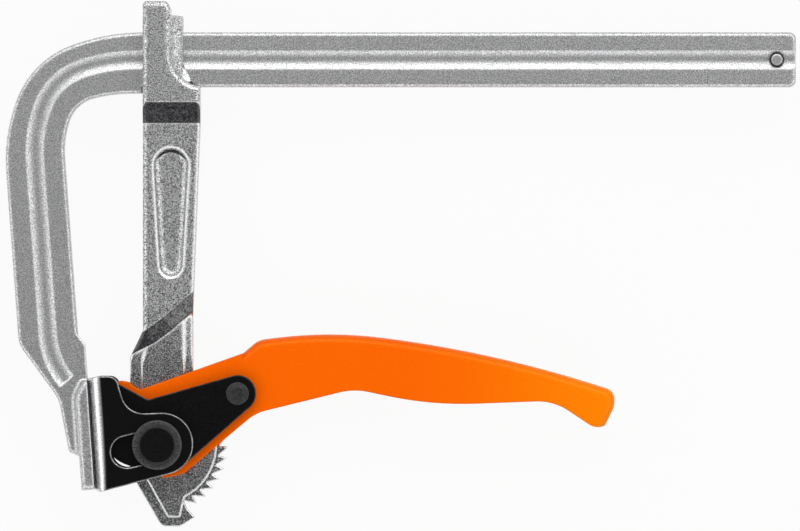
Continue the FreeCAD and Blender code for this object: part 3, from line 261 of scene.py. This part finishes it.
def black_coat():
    """Satin black plate on sheet steel, with a painted highlight of bright bare metal on the
    bracket's bend, and its rim partly rubbed bright and partly painted with a highlight.
    """
    s = Shader("black_coat")
    grain = s.noise(0.0005, 3.0, 0.6)
    patches = s.spread(s.noise(0.004, 3.0), 0.3, 0.65, 0.4, 1.0)
    place = s.axes(s.place)
    turned = s.math("ABSOLUTE", s.axes(s.facing)["X"])
    # Painted highlight: the bend's faces turned towards X become bright bare metal.
    bend_highlight = s.times(s.rise(turned, 0.05, 0.45), s.spread(place["X"], *BRACKET_BEND_END, 1.0, 0.0))
    cheek = s.spread(s.math("ABSOLUTE", place["Z"]), *BRACKET_CHEEK, 0.12, 1.0)
    # The flange's outer rims go bright metal, partly rubbed wear and partly a painted highlight.
    rim = s.times(s.times(s.edge_mask(0.0013), patches), cheek)
    wear_and_highlight = s.math("MAXIMUM", rim, bend_highlight)
    bright_metal = s.mix(s.rise(grain, 0.4, 0.6), rgb(0.70, 0.70, 0.71), rgb(0.99, 0.99, 1.0))
    return s.surface(
        Base_Color=s.mix(wear_and_highlight, s.mix(s.rise(grain, 0.3, 0.7), BLACK_DEEP, BLACK_PALE), bright_metal),
        Metallic=wear_and_highlight,
        Normal=s.bump(grain, 0.00004, s.soft_edges(0.0010), 0.5),
        Specular_IOR_Level=0.18, Roughness=s.spread(grain, 0.3, 0.7, 0.24, 0.34),
    )


def black_oxide():
    """Black oxide on turned steel: the pin's head dark, the washers and rivets round it greyer as a
    painted sheen.
    """
    s = Shader("black_oxide")
    grain = s.noise(0.0006, 3.0, 0.6)
    reach = s.reach(PIVOT)
    # Painted sheen: a greyer base colour on the washers and rivets round the pin's head.
    ring = s.times(s.rise(reach, *PIN_HEAD_EDGE), s.spread(reach, *WASHER_TO_RIVET, 1.0, 0.45))
    # The edges go grey and metallic, partly worn and partly a painted highlight.
    wear_and_highlight = s.times(s.edge_mask(0.0007), s.spread(s.noise(0.003, 3.0), 0.3, 0.65, 0.3, 1.0))
    dark = s.mix(s.rise(grain, 0.3, 0.7), BLACK_DEEP, BLACK_PALE)
    sheen_grey = s.mix(s.rise(grain, 0.4, 0.6), rgb(0.035, 0.035, 0.036), rgb(0.080, 0.080, 0.082))
    return s.surface(
        Base_Color=s.mix(wear_and_highlight, s.mix(ring, dark, sheen_grey), rgb(0.30, 0.30, 0.31)),
        Metallic=s.times(wear_and_highlight, 0.7),
        Normal=s.bump(grain, 0.00006, s.soft_edges(0.0005), 0.6),
        Specular_IOR_Level=0.18, Roughness=s.spread(grain, 0.3, 0.7, 0.3, 0.42),
    )


def spring_steel():
    s = Shader("spring_steel")
    grain = s.noise(0.0003, 2.0, 0.5, (1, 6, 1))
    return s.surface(
        Base_Color=s.mix(grain, rgb(0.38, 0.38, 0.39), rgb(0.55, 0.55, 0.56)), Metallic=1.0,
        Normal=s.bump(grain, 0.00002), Roughness=s.spread(grain, 0.3, 0.7, 0.25, 0.4),
    )


def floor_material():
    """Pale floor: near white to the camera and in reflections, and it keeps a soft shadow."""
    s = Shader("floor")
    colour = s.mix(s.noise(0.15, 2.0), rgb(0.64, 0.64, 0.64), rgb(0.68, 0.68, 0.68))
    matt = s.node("ShaderNodeBsdfDiffuse", Color=colour)
    glow = s.node("ShaderNodeEmission", Color=rgb(1, 1, 1), Strength=1.0)
    path = s.node("ShaderNodeLightPath").outputs
    seen = s.math("ADD", path["Is Camera Ray"], path["Is Glossy Ray"])
    seen = s.math("ADD", seen, path["Is Transmission Ray"])
    both = s.node("ShaderNodeMixShader")
    s.feed(both.inputs[0], s.times(seen, FLOOR_GLOW))
    s.feed(both.inputs[1], matt.outputs[0])
    s.feed(both.inputs[2], glow.outputs[0])
    s.feed(s.output.inputs["Surface"], both.outputs[0])
    return s.material


MATERIALS = {
    "rail_steel": rail_steel,
    "forged_steel": forged_steel,
    "orange_paint": orange_paint,
    "black_coat": black_coat,
    "black_oxide": black_oxide,
    "spring_steel": spring_steel,
}


def dress_nodes():
    """Gives every CAD node the material of its slot in the record."""
    made = {name: make() for name, make in MATERIALS.items()}
    for entry in frame["record"]["subparts"]:
        node = frame["nodes"][entry["node"]]
        node.data.materials.clear()
        node.data.materials.append(made[entry["material_slot"]])


def make_floor():
    low = min(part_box(name)[0].z for name in frame["nodes"])
    mesh = bpy.data.meshes.new("floor")
    corners = [
        (CLAMP_MIDDLE.x + x * FLOOR_REACH, CLAMP_MIDDLE.y + y * FLOOR_REACH, low)
        for x, y in ((-1, -1), (1, -1), (1, 1), (-1, 1))
    ]
    mesh.from_pydata(corners, [], [(0, 1, 2, 3)])
    mesh.materials.append(floor_material())
    floor = bpy.data.objects.new("floor", mesh)
    bpy.context.scene.collection.objects.link(floor)


def make_camera():
    """Straight down on the clamp from far away, at the photo's scale on the rail's face."""
    data = bpy.data.cameras.new("camera")
    data.sensor_width = SENSOR_WIDTH
    data.lens = SENSOR_WIDTH * CAMERA_DISTANCE / (IMAGE_WIDTH * METRES_PER_PIXEL)
    data.clip_start = 0.01
    data.clip_end = 20
    camera = bpy.data.objects.new("camera", data)
    camera.location = (
        (IMAGE_WIDTH / 2 - JAW_PIXEL[0]) * METRES_PER_PIXEL,
        (JAW_PIXEL[1] - IMAGE_HEIGHT / 2) * METRES_PER_PIXEL,
        RAIL_FACE + CAMERA_DISTANCE,
    )
    bpy.context.scene.collection.objects.link(camera)
    bpy.context.scene.camera = camera


def softbox(name, azimuth, elevation, width, height, strength, distance):
    """A softbox aimed at the clamp. Azimuth 0 is on its right, and 90 is above the rail."""
    flat = math.cos(math.radians(elevation))
    out = Vector((
        flat * math.cos(math.radians(azimuth)),
        flat * math.sin(math.radians(azimuth)),
        math.sin(math.radians(elevation)),
    ))
    data = bpy.data.lights.new(name, "AREA")
    data.shape = "RECTANGLE"
    data.size = width
    data.size_y = height
    data.energy = strength
    lamp = bpy.data.objects.new(name, data)
    lamp.location = CLAMP_MIDDLE + out * distance
    lamp.rotation_euler = (-out).to_track_quat("-Z", "Y").to_euler()
    bpy.context.scene.collection.objects.link(lamp)


def make_light():
    """A ring of softboxes as the world: dim overhead, bright at mid height, dark at the horizon."""
    world = bpy.data.worlds.new("studio")
    bpy.context.scene.world = world
    world.use_nodes = True
    tree = world.node_tree
    where = tree.nodes.new("ShaderNodeTexCoord").outputs["Generated"]
    split = tree.nodes.new("ShaderNodeSeparateXYZ")
    tree.links.new(where, split.inputs[0])
    ramp = tree.nodes.new("ShaderNodeValToRGB")
    tree.links.new(split.outputs["Z"], ramp.inputs[0])
    stops = ramp.color_ramp.elements
    while len(stops) < len(SKY):
        stops.new(1.0)
    for stop, (height, level) in zip(stops, SKY):
        stop.position = height
        stop.color = rgb(level, level, level)
    back = tree.nodes["Background"]
    tree.links.new(ramp.outputs[0], back.inputs["Color"])
    back.inputs["Strength"].default_value = SKY_STRENGTH
    softbox(
        "key_box", azimuth=80, elevation=50, width=1.2, height=0.4, strength=3.0, distance=1.1
    )


dress_nodes()
make_floor()
make_camera()
make_light()
bpy.context.scene.view_settings.view_transform = "Standard"
